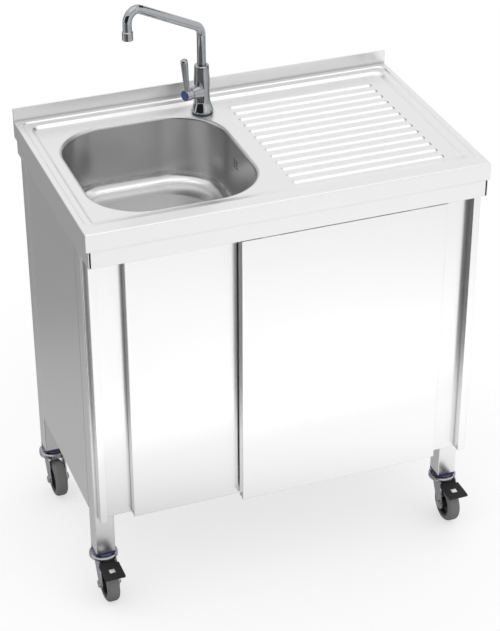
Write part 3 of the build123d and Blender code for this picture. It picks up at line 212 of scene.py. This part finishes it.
# Name, compass angle, height angle, half the width, half the height, shade
CARDS = [
    ("dark_front_left", -138, 15, 41, 22, 0.03),
    ("grey_front_turn", -105, -29, 8, 22, 0.36),
    ("dark_front_turn", -121, -29, 8, 22, 0.02),
    ("grey_left_low", -154, -29, 25, 22, 0.3),
    ("grey_back_left", 112, -20.5, 34, 10.5, 0.32),
    ("grey_back_left_low", 112, -44, 34, 13, 0.48),
    ("grey_below", 0, -90, 42, 42, 0.55),
    ("grey_front_high", -68, 34, 24, 20, 0.8),
    ("grey_back_high", 74, 30, 32, 18, 0.92),
    ("dark_back_right", 18, 33, 23, 13, 0.06),
    ("white_above", 0, 90, 26, 26, 1.4),
    ("grey_front_mid", -69, -24, 24, 4.5, 0.85),
    ("white_front_low", -69, -32.5, 24, 3.4, 1.6),
    ("grey_front_low", -63, -45, 8, 7, 0.75),
    ("grey_front_left_low", -80, -44, 9, 8, 0.2),
    ("grey_left_high", 128, 8, 20, 16, 0.5),
]


def show_to_mirrors(obj, shade):
    """Gives a sheet an even glow that only mirrors see, and returns its node tree and shader."""
    tree, shader = matt_paint(obj, 0)
    shader.inputs["Emission Color"].default_value = (shade, shade, shade, 1)
    shader.inputs["Emission Strength"].default_value = 1.0
    obj.visible_camera = False
    obj.visible_diffuse = False
    obj.visible_shadow = False
    obj.visible_transmission = False
    return tree, shader


def card(name, compass, rise, half_width, half_height, shade):
    """Grey card in a direction, sized by the angles it covers."""
    wide = CARD_DISTANCE * math.tan(math.radians(half_width))
    tall = CARD_DISTANCE * math.tan(math.radians(half_height))
    obj = sheet(name, -wide, wide, -tall, tall)
    aim = Matrix.Rotation(math.radians(compass), 4, "Z") @ Matrix.Rotation(math.radians(-rise), 4, "Y")
    facing = Matrix.Rotation(QUARTER_TURN, 4, "Z") @ Matrix.Rotation(QUARTER_TURN, 4, "X")
    obj.matrix_world = aim @ Matrix.Translation((CARD_DISTANCE, 0, 0)) @ facing
    show_to_mirrors(obj, shade)


for row in CARDS:
    card(*row)
print("cards hung:", len(CARDS))

# %% [markdown]
# The floor under the cabinet is in shade, and the legs, forks and wheels mirror it. As the floor itself
# doesn't show in reflections, low sheets stand in for that shade: one under the cabinet, and one before it
# that fades out towards the front and to the right, where the light comes from. A fade leaves no hard edge
# in the mirrored doors.

# %% Shade under the cabinet
SHADE_HEIGHT = 0.002
SHEET_LIGHT = 1.3


def floor_shade(name, left, right, front, back, left_depth, right_depth, front_share):
    """Level sheet just above the floor that only mirrors see: a light tone less a depth of shade."""
    obj = sheet(name, left, right, front, back)
    obj.location.z = SHADE_HEIGHT
    tree, shader = show_to_mirrors(obj, 1.0)
    place = add_node(tree, "ShaderNodeTexCoord")
    parts = add_node(tree, "ShaderNodeSeparateXYZ")
    join(tree, place, "Object", parts, 0)
    depth = map_range(tree, parts, "X", left_depth, right_depth, start=left / 2, end=right)
    share = map_range(tree, parts, "Y", front_share, 1.0, start=front, end=back)
    dark = add_node(tree, "ShaderNodeMath", operation="MULTIPLY")
    join(tree, depth, 0, dark, 0)
    join(tree, share, 0, dark, 1)
    light = add_node(tree, "ShaderNodeMath", operation="SUBTRACT")
    light.inputs[0].default_value = SHEET_LIGHT
    join(tree, dark, 0, light, 1)
    join(tree, light, 0, shader, "Emission Strength")


floor_shade("shade_under", left=-0.42, right=0.46, front=-0.2, back=0.3,
            left_depth=0.88, right_depth=0.88, front_share=1.0)
floor_shade("shade_before", left=-0.9, right=0.7, front=-0.75, back=-0.2,
            left_depth=1.1, right_depth=0.35, front_share=0.0)
print("shade laid")

# %% [markdown]
# ## Lamp
# The world gives nearly all the light. One weak lamp from the front right adds a soft direction to the
# plastics and the shadow. A sun lamp with a wide disc has no falloff, so the floor stays even.

# %% Lamp
LAMP_STRENGTH = 0.2
LAMP_DISC = math.radians(60)
LAMP_TURN = (55, 0, 25)

lamp = add_object("front_lamp", bpy.data.lights.new("front_lamp", "SUN"))
lamp.data.energy = LAMP_STRENGTH
lamp.data.angle = LAMP_DISC
lamp.rotation_euler = [math.radians(angle) for angle in LAMP_TURN]
print("lamp strength", LAMP_STRENGTH)

# %% [markdown]
# ## Steel
# Sheet steel is brushed in one direction. The brush marks are a noise texture squeezed across the grain,
# and they vary the roughness and lift a very small bump. A folded edge is never knife sharp, so a bevel
# node rounds the shading there, and an occlusion node paints shade into the creases, so they come out
# darker.

# %% Brushed steel
# Reach and darkness of the painted shade in creases.
PAINTED_CREASE_WIDTH = 0.006
PAINTED_CREASE_SHADE = 0.45
FOLD_RADIUS = 0.0008
BRUSH_SPREAD = 0.05
BRUSH_LIFT = 0.00001
STEEL = (0.86, 0.86, 0.86)
UPRIGHT_GRAIN = (900, 900, 12)
LEVEL_GRAIN = (12, 900, 900)


def brushed_metal(name, color, roughness, stretch):
    """Metal with brush marks along the axis with the smallest stretch, and painted shade in tight creases.
    """
    material, tree, shader = new_material(name)
    shader.inputs["Metallic"].default_value = 1.0
    # Painted shade: an occlusion node darkens the colour in creases narrower than the given width.
    shade = add_node(tree, "ShaderNodeAmbientOcclusion", samples=8, Distance=PAINTED_CREASE_WIDTH)
    tint = mix_colors(tree, [PAINTED_CREASE_SHADE * value for value in color], color, shade, "AO")
    join(tree, tint, MIX_RESULT, shader, "Base Color")
    place = add_node(tree, "ShaderNodeTexCoord")
    squeeze = add_node(tree, "ShaderNodeMapping", Scale=stretch)
    join(tree, place, "Object", squeeze, "Vector")
    marks = add_node(tree, "ShaderNodeTexNoise", Scale=1.0, Detail=4.0, Roughness=0.6)
    join(tree, squeeze, 0, marks, "Vector")
    finish = map_range(tree, marks, 0, roughness - BRUSH_SPREAD, roughness + BRUSH_SPREAD)
    join(tree, finish, 0, shader, "Roughness")
    fold = add_node(tree, "ShaderNodeBevel", samples=4, Radius=FOLD_RADIUS)
    bump = add_node(tree, "ShaderNodeBump", Strength=0.3, Distance=BRUSH_LIFT)
    join(tree, fold, 0, bump, "Normal")
    join(tree, marks, 0, bump, "Height")
    join(tree, bump, 0, shader, "Normal")
    return material


steel_upright = brushed_metal("steel_upright", STEEL, 0.24, UPRIGHT_GRAIN)
steel_level = brushed_metal("steel_level", STEEL, 0.31, LEVEL_GRAIN)
print("steel ready")

# %% [markdown]
# ## The bowl's finish
# A deep-drawn bowl isn't brushed. The press stretches its walls downwards and leaves faint upright streaks,
# while the floor, pressed flat, stays glossier. The floor is also painted paler than the walls, a painted
# light. So tone and roughness follow the height, and a noise texture that is squeezed sideways adds the
# streaks.

# %% Deep-drawn steel
WALL_ROUGHNESS = 0.31
FLOOR_ROUGHNESS = 0.19
# The floor colour is painted paler than the wall colour: painted light on the bowl's floor.
WALL_COLOR = (0.61, 0.61, 0.61)
FLOOR_PAINTED_LIGHT_COLOR = (0.8, 0.8, 0.8)
FLOOR_DISH = 0.008
FLOOR_BLEND = 0.03
STREAKS = (40, 40, 2)
STREAK_DEPTH = 0.02


def drawn_steel(name, floor_height):
    """Satin steel with upright streaks, glossier on the floor than on the walls, and painted paler on the
    floor.
    """
    material, tree, shader = new_material(name)
    shader.inputs["Metallic"].default_value = 1.0
    place = add_node(tree, "ShaderNodeTexCoord")
    parts = add_node(tree, "ShaderNodeSeparateXYZ")
    join(tree, place, "Object", parts, 0)
    # Painted light: the colour turns from the paler floor tone to the wall tone with height.
    rise = map_range(tree, parts, "Z", 0.0, 1.0, start=floor_height, end=floor_height + FLOOR_BLEND)
    tint = mix_colors(tree, FLOOR_PAINTED_LIGHT_COLOR, WALL_COLOR, rise, 0)
    join(tree, tint, MIX_RESULT, shader, "Base Color")
    height = map_range(tree, rise, 0, FLOOR_ROUGHNESS, WALL_ROUGHNESS)
    squeeze = add_node(tree, "ShaderNodeMapping", Scale=STREAKS)
    join(tree, place, "Object", squeeze, "Vector")
    streaks = add_node(tree, "ShaderNodeTexNoise", Scale=1.0, Detail=3.0)
    join(tree, squeeze, 0, streaks, "Vector")
    drift = map_range(tree, streaks, 0, -STREAK_DEPTH, STREAK_DEPTH)
    total = add_node(tree, "ShaderNodeMath", operation="ADD")
    join(tree, height, 0, total, 0)
    join(tree, drift, 0, total, 1)
    join(tree, total, 0, shader, "Roughness")
    return material


bowl_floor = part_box("sink_bowl")[0].z
steel_bowl = drawn_steel("steel_bowl", bowl_floor + FLOOR_DISH)
print("bowl floor at", round(bowl_floor, 4))

# %% [markdown]
# ## Chrome and zinc
# The tap is polished chrome, almost a mirror with a few faint smears. The casters are zinc plated: a
# duller, bluish metal with crystals of slightly different brightness, which a Voronoi texture gives.

# %% Chrome and zinc
SMEAR_START = 0.4
SMEAR_END = 0.8
CRYSTAL_SPREAD = 0.08


def chrome(name, color, roughness):
    """Polished plating with faint smears in its gloss."""
    material, tree, shader = new_material(name)
    shader.inputs["Base Color"].default_value = (*color, 1)
    shader.inputs["Metallic"].default_value = 1.0
    place = add_node(tree, "ShaderNodeTexCoord")
    smears = add_node(tree, "ShaderNodeTexNoise", Scale=60.0, Detail=3.0)
    join(tree, place, "Object", smears, "Vector")
    finish = map_range(tree, smears, 0, roughness, 2 * roughness, start=SMEAR_START, end=SMEAR_END)
    join(tree, finish, 0, shader, "Roughness")
    return material


def zinc(name, dark, light, roughness):
    """Plated steel with small crystals."""
    material, tree, shader = new_material(name)
    shader.inputs["Metallic"].default_value = 1.0
    place = add_node(tree, "ShaderNodeTexCoord")
    crystals = add_node(tree, "ShaderNodeTexVoronoi", Scale=400.0)
    join(tree, place, "Object", crystals, "Vector")
    tint = mix_colors(tree, dark, light, crystals, "Color")
    join(tree, tint, MIX_RESULT, shader, "Base Color")
    finish = map_range(tree, crystals, "Color", roughness - CRYSTAL_SPREAD, roughness + CRYSTAL_SPREAD)
    join(tree, finish, 0, shader, "Roughness")
    return material


chrome_tap = chrome("chrome_tap", (0.4, 0.41, 0.425), 0.04)
zinc_steel = zinc("zinc_steel", (0.4, 0.4, 0.43), (0.52, 0.52, 0.55), 0.3)
brass_nut = brushed_metal("brass_nut", (0.72, 0.56, 0.26), 0.32, (300, 300, 300))
aluminium = brushed_metal("aluminium", (0.75, 0.75, 0.77), 0.38, (10, 700, 700))
print("plating ready")

# %% [markdown]
# ## Plastic and rubber
# Moulded plastic is never quite one colour: it has a fine grain and a slow drift in tone. One recipe with
# a colour, a roughness and a grain size covers plugs, hubs, tyres, pedals, cans and caps.

# %% Moulded plastic
GRAIN_SPREAD = 0.06


def moulded(name, color, roughness, grain=900.0, lift=0.00004, drift=0.12, hollow=0.0):
    """Plastic or rubber with a fine grain and a slow drift in tone, and painted shade in hollows of a given
    size.
    """
    material, tree, shader = new_material(name)
    place = add_node(tree, "ShaderNodeTexCoord")
    clouds = add_node(tree, "ShaderNodeTexNoise", Scale=18.0, Detail=3.0)
    join(tree, place, "Object", clouds, "Vector")
    darker = [value * (1 - drift) for value in color]
    lighter = [min(1.0, value * (1 + drift)) for value in color]
    tint = mix_colors(tree, darker, lighter, clouds, 0)
    join(tree, tint, MIX_RESULT, shader, "Base Color")
    # Painted shade: an occlusion node darkens the colour inside hollows up to this size.
    if hollow:
        shade = add_node(tree, "ShaderNodeAmbientOcclusion", samples=8, Distance=hollow)
        join(tree, tint, MIX_RESULT, shade, "Color")
        join(tree, shade, "Color", shader, "Base Color")
    speckle = add_node(tree, "ShaderNodeTexNoise", Scale=grain, Detail=2.0)
    join(tree, place, "Object", speckle, "Vector")
    finish = map_range(tree, speckle, 0, roughness - GRAIN_SPREAD, roughness + GRAIN_SPREAD)
    join(tree, finish, 0, shader, "Roughness")
    bump = add_node(tree, "ShaderNodeBump", Strength=0.4, Distance=lift)
    join(tree, speckle, 0, bump, "Height")
    join(tree, bump, 0, shader, "Normal")
    return material


finishes = {
    "brushed_steel": steel_upright,
    "satin_steel": steel_bowl,
    "track_aluminium": aluminium,
    "chrome": chrome_tap,
    "nut_brass": brass_nut,
    "zinc_steel": zinc_steel,
    "index_blue": moulded("index_blue", (0.02, 0.05, 0.2), 0.15),
    "seal_rubber": moulded("seal_rubber", (0.03, 0.03, 0.03), 0.7),
    "nylon_white": moulded("nylon_white", (0.82, 0.82, 0.78), 0.45),
    # The waste pipe's finish has painted shade inside its hollows.
    "pipe_white": moulded("pipe_white", (0.85, 0.85, 0.85), 0.3, drift=0.03, hollow=0.04),
    "can_natural": moulded("can_natural", (0.8, 0.84, 0.86), 0.4, drift=0.04),
    "can_grey": moulded("can_grey", (0.4, 0.41, 0.43), 0.45, drift=0.06),
    "cap_blue": moulded("cap_blue", (0.04, 0.13, 0.45), 0.4),
    "cap_black": moulded("cap_black", (0.03, 0.03, 0.03), 0.45),
    "pump_black": moulded("pump_black", (0.035, 0.035, 0.04), 0.5),
    "hose_clear": moulded("hose_clear", (0.7, 0.74, 0.76), 0.25, drift=0.05),
    "battery_case": moulded("battery_case", (0.09, 0.09, 0.1), 0.5),
    "cable_black": moulded("cable_black", (0.02, 0.02, 0.02), 0.5),
    "plug_violet": moulded("plug_violet", (0.035, 0.03, 0.12), 0.4),
    "hub_black": moulded("hub_black", (0.02, 0.02, 0.022), 0.5),
    "tyre_grey": moulded("tyre_grey", (0.19, 0.195, 0.19), 0.7, grain=500.0, lift=0.0001),
    "pedal_black": moulded("pedal_black", (0.007, 0.007, 0.0075), 0.65),
}
print("finishes:", len(finishes))

# %% [markdown]
# ## Dressing the CAD nodes
# Each node takes the finish of its record slot. The worktop, rails and shelf are brushed along their
# length, so they take the level grain.

# %% Dress the nodes
LEVEL_NODES = ("worktop", "top_frame", "bottom_shelf")

subparts = frame["record"]["subparts"]
for subpart in subparts:
    node = subpart["node"]
    mesh = nodes[node].data
    mesh.materials.clear()
    mesh.materials.append(steel_level if node in LEVEL_NODES else finishes[subpart["material_slot"]])
    mesh.polygons.foreach_set("material_index", [0] * len(mesh.polygons))
print("dressed", len(subparts), "nodes")

# %% [markdown]
# ## Small hardware
# Screws, rivets, clamps and nuts are a few millimetres across. Nearly all of them are domes or rings, so
# one helper spins an outline round an axis, another adds a block with rounded edges, and a third sets
# copies of the finished mesh in place on the body that carries them. Smooth shading with a sharp-edge
# angle keeps rims crisp and rings round. Lengths here are in millimetres.

# %% Mesh helpers
MM = 0.001
WELD = 0.001
SHARP_ANGLE = math.radians(32)


def spun(outline, closed=False, steps=24):
    """Mesh turned round Z from an outline of radius and height."""
    mesh = bmesh.new()
    points = [mesh.verts.new((radius * MM, 0, height * MM)) for radius, height in outline]
    pairs = list(zip(points, points[1:]))
    if closed:
        pairs.append((points[-1], points[0]))
    edges = [mesh.edges.new(pair) for pair in pairs]
    bmesh.ops.spin(mesh, geom=points + edges, axis=(0, 0, 1), cent=(0, 0, 0), angle=math.tau, steps=steps)
    bmesh.ops.remove_doubles(mesh, verts=mesh.verts, dist=WELD * MM)
    return mesh


def add_block(mesh, centre, size, rounding):
    """Adds a block with rounded edges to a mesh."""
    stretch = Matrix.Diagonal((*[length * MM for length in size], 1))
    place = Matrix.Translation(Vector(centre) * MM) @ stretch
    made = bmesh.ops.create_cube(mesh, size=1.0, matrix=place)
    edges = list({edge for corner in made["verts"] for edge in corner.link_edges})
    bmesh.ops.bevel(mesh, geom=edges, offset=rounding * MM, segments=3, profile=0.5, affect="EDGES")


def at(x, y, z, turn=0.0, axis="Z"):
    """Place in millimetres with a turn in degrees."""
    return Matrix.Translation(Vector((x, y, z)) * MM) @ Matrix.Rotation(math.radians(turn), 4, axis)


def set_in_place(name, mesh, material, body, places):
    """One piece made of copies of a mesh, each moved by a matrix, that rides a body."""
    bmesh.ops.recalc_face_normals(mesh, faces=mesh.faces)
    single = bpy.data.meshes.new(name + "_single")
    mesh.to_mesh(single)
    mesh.free()
    whole = bmesh.new()
    for place in places:
        before = len(whole.verts)
        whole.from_mesh(single)
        whole.verts.ensure_lookup_table()
        bmesh.ops.transform(whole, matrix=place, verts=whole.verts[before:])
    for face in whole.faces:
        face.smooth = True
    data = bpy.data.meshes.new(name)
    whole.to_mesh(data)
    whole.free()
    bpy.data.meshes.remove(single)
    data.set_sharp_from_angle(angle=SHARP_ANGLE)
    data.materials.append(material)
    obj = add_object(name, data)
    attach(obj, body)


print("mesh helpers ready")

# %% [markdown]
# ## Brake plates
# A brake pedal is a plastic cap on a steel plate, and the plate shows through the cap's square hole as a
# pale patch. It is a small plate with rounded edges right under the cap, with a raised pad in the hole, and
# moves with the cap.

# %% Brake plates
PLATE = (24.0, 23.0, 1.4)
PLATE_ROUNDING = 0.5
PAD = (12.2, 12.2, 4.2)
PAD_ROUNDING = 0.4
PLATE_TOP = 83.95
PEDAL_MIDDLE = -229.0
LEG_X = 376.0

for side, sign in (("left", -1), ("right", 1)):
    plate = bmesh.new()
    add_block(plate, (0, 0, -PLATE[2] / 2), PLATE, PLATE_ROUNDING)
    add_block(plate, (0, 0, PAD[2] / 2 - PLATE[2] / 2), PAD, PAD_ROUNDING)
    set_in_place("brake_plate_" + side, plate, steel_level, "brake_front_" + side,
                 [at(sign * LEG_X, PEDAL_MIDDLE, PLATE_TOP)])
print("brake plates", PLATE)

# %% [markdown]
# ## Screws and rivets
# The pump's head is held by four button-head screws, each with a socket in its head. The back panel's edges
# are held by blind rivets: a low dome with the hollow that the pulled pin leaves. Both are one outline spun
# round.

# %% Screws and rivets
SCREW = [(0, 1.0), (1.1, 1.0), (1.1, 2.3), (1.7, 2.2), (2.3, 1.6), (2.6, 0.8), (2.6, 0)]
SCREW_X = 28.0
SCREW_Y = 14.0
PUMP_HEAD_TOP = 302.0
PUMP_HEAD_FROM_BACK = 20.0
RIVET = [(0, 0.5), (0.8, 0.5), (0.9, 1.2), (1.8, 1.0), (2.7, 0.5), (3.0, 0)]
RIVET_HEIGHTS = (230, 370, 510, 650, 770)
RIVET_X = 345.0

pump_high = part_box("pump")[1] / MM
head_y = pump_high.y - PUMP_HEAD_FROM_BACK
screws = [at(x, head_y + y, PUMP_HEAD_TOP) for x in (-SCREW_X, SCREW_X) for y in (-SCREW_Y, SCREW_Y)]
set_in_place("pump_screws", spun(SCREW), zinc_steel, "cabinet", screws)
back_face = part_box("back_panel")[1].y / MM
rivets = [at(x, back_face, z, -90, "X") for x in (-RIVET_X, RIVET_X) for z in RIVET_HEIGHTS]
set_in_place("back_rivets", spun(RIVET), zinc_steel, "cabinet", rivets)
print("screws", len(screws), "rivets", len(rivets))

# %% [markdown]
# ## Hose clamps
# A worm-drive clamp is a thin steel band with a housing for its screw. There is one on each pump port and
# one where the hose meets the tap. The band has rolled edges, so that it doesn't cut the hose.

# %% Hose clamps
HOSE = 7.0
BAND = [(HOSE, -4), (HOSE + 0.9, -4.3), (HOSE + 1.2, -3.7), (HOSE + 0.8, -3),
        (HOSE + 0.8, 3), (HOSE + 1.2, 3.7), (HOSE + 0.9, 4.3), (HOSE, 4)]
BAND_STEPS = 36
HOUSING = (9, 4, 8)
HOUSING_ROUNDING = 1.0
HOUSING_OUT = 2.6
WORM_HEAD = (3.4, 3.2, 3.2)
WORM_ROUNDING = 0.8
WORM_SIDE = 6.0
CLAMP_RISE = 9.0
PORT_X = 17.0
TAP_PLACE = (-32, 173)

riser_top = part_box("riser_hose")[1].z / MM
clamp = spun(BAND, closed=True, steps=BAND_STEPS)
add_block(clamp, (0, -HOSE - HOUSING_OUT, 0), HOUSING, HOUSING_ROUNDING)
add_block(clamp, (WORM_SIDE, -HOSE - HOUSING_OUT, 0), WORM_HEAD, WORM_ROUNDING)
clamps = [at(x, head_y, pump_high.z + CLAMP_RISE) for x in (-PORT_X, PORT_X)]
clamps.append(at(*TAP_PLACE, riser_top - CLAMP_RISE, 90))
set_in_place("hose_clamps", clamp, steel_level, "cabinet", clamps)
print("hose clamps", len(clamps))

# %% [markdown]
# ## Union nut
# The waste pipe is held to the strainer by a plastic union nut with grip flutes. The ring is spun with many
# steps, and its outer points are then moved in and out with the angle, which gives the flutes.

# %% Union nut
PIPE = 20.0
NUT = [(PIPE, -9), (PIPE + 4, -9), (PIPE + 5.5, -7.5), (PIPE + 5.5, 6), (PIPE + 4, 8), (PIPE, 8)]
GRIP_START = PIPE + 5
FLUTES = 14
STEPS_PER_FLUTE = 6
FLUTE_DEPTH = 0.9
NUT_DROP = 10.0

pipe_low, pipe_high = [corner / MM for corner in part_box("waste_pipe")]
nut = spun(NUT, closed=True, steps=FLUTES * STEPS_PER_FLUTE)
for point in nut.verts:
    reach = math.hypot(point.co.x, point.co.y)
    if reach > GRIP_START * MM:
        wave = (1 + math.cos(FLUTES * math.atan2(point.co.y, point.co.x))) / 2
        scale = 1 - FLUTE_DEPTH * MM * wave / reach
        point.co.x *= scale
        point.co.y *= scale
middle = (pipe_low + pipe_high) / 2
nut_height = pipe_high.z - NUT_DROP
set_in_place("waste_union_nut", nut, finishes["pipe_white"], "cabinet",
             [at(middle.x, middle.y, nut_height)])
print("union nut at", round(nut_height, 1))

# %% [markdown]
# ## Level marks
# A clean-water can has moulded marks that show how much is left: a long one for every five litres and a
# short one between them. Each is a low bar with rounded edges on the can's front face.

# %% Level marks
MARK_STEP = 41.5
MARK_COUNT = 6
LONG_MARK = 30.0
SHORT_MARK = 16.0
MARK_DEPTH = 1.6
MARK_HEIGHT = 2.4
MARK_ROUNDING = 0.5
MARKS_FROM_SIDE = 85.0

can_low, can_high = [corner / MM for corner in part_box("fresh_can")]
marks = bmesh.new()
for number in range(1, MARK_COUNT + 1):
    length = LONG_MARK if number % 2 == 0 else SHORT_MARK
    add_block(marks, (length / 2, 0, number * MARK_STEP), (length, MARK_DEPTH, MARK_HEIGHT), MARK_ROUNDING)
set_in_place("fresh_can_marks", marks, finishes["cap_blue"], "cabinet",
             [at(can_high.x - MARKS_FROM_SIDE, can_low.y, can_low.z)])
print("level marks", MARK_COUNT)

# %% [markdown]
# ## Battery terminals
# Two bolts on the battery's terminal block hold the lead. A bolt is a washer under a six-sided head, and
# six spin steps give that head.

# %% Battery terminals
BOLT_X = 11.0
BOLT_SIDES = 6
WASHER = [(0, 1.0), (4.6, 1.0), (4.9, 0.7), (4.9, 0)]
HEAD = [(0, 4.2), (2.9, 4.2), (3.5, 3.8), (3.5, 1.0)]
BLOCK_FROM_BACK = 12.0

battery_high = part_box("battery_pack")[1] / MM
bolts = [at(x, battery_high.y - BLOCK_FROM_BACK, battery_high.z) for x in (-BOLT_X, BOLT_X)]
set_in_place("battery_washers", spun(WASHER), zinc_steel, "cabinet", bolts)
set_in_place("battery_bolts", spun(HEAD, steps=BOLT_SIDES), zinc_steel, "cabinet", bolts)
print("battery bolts", len(bolts))
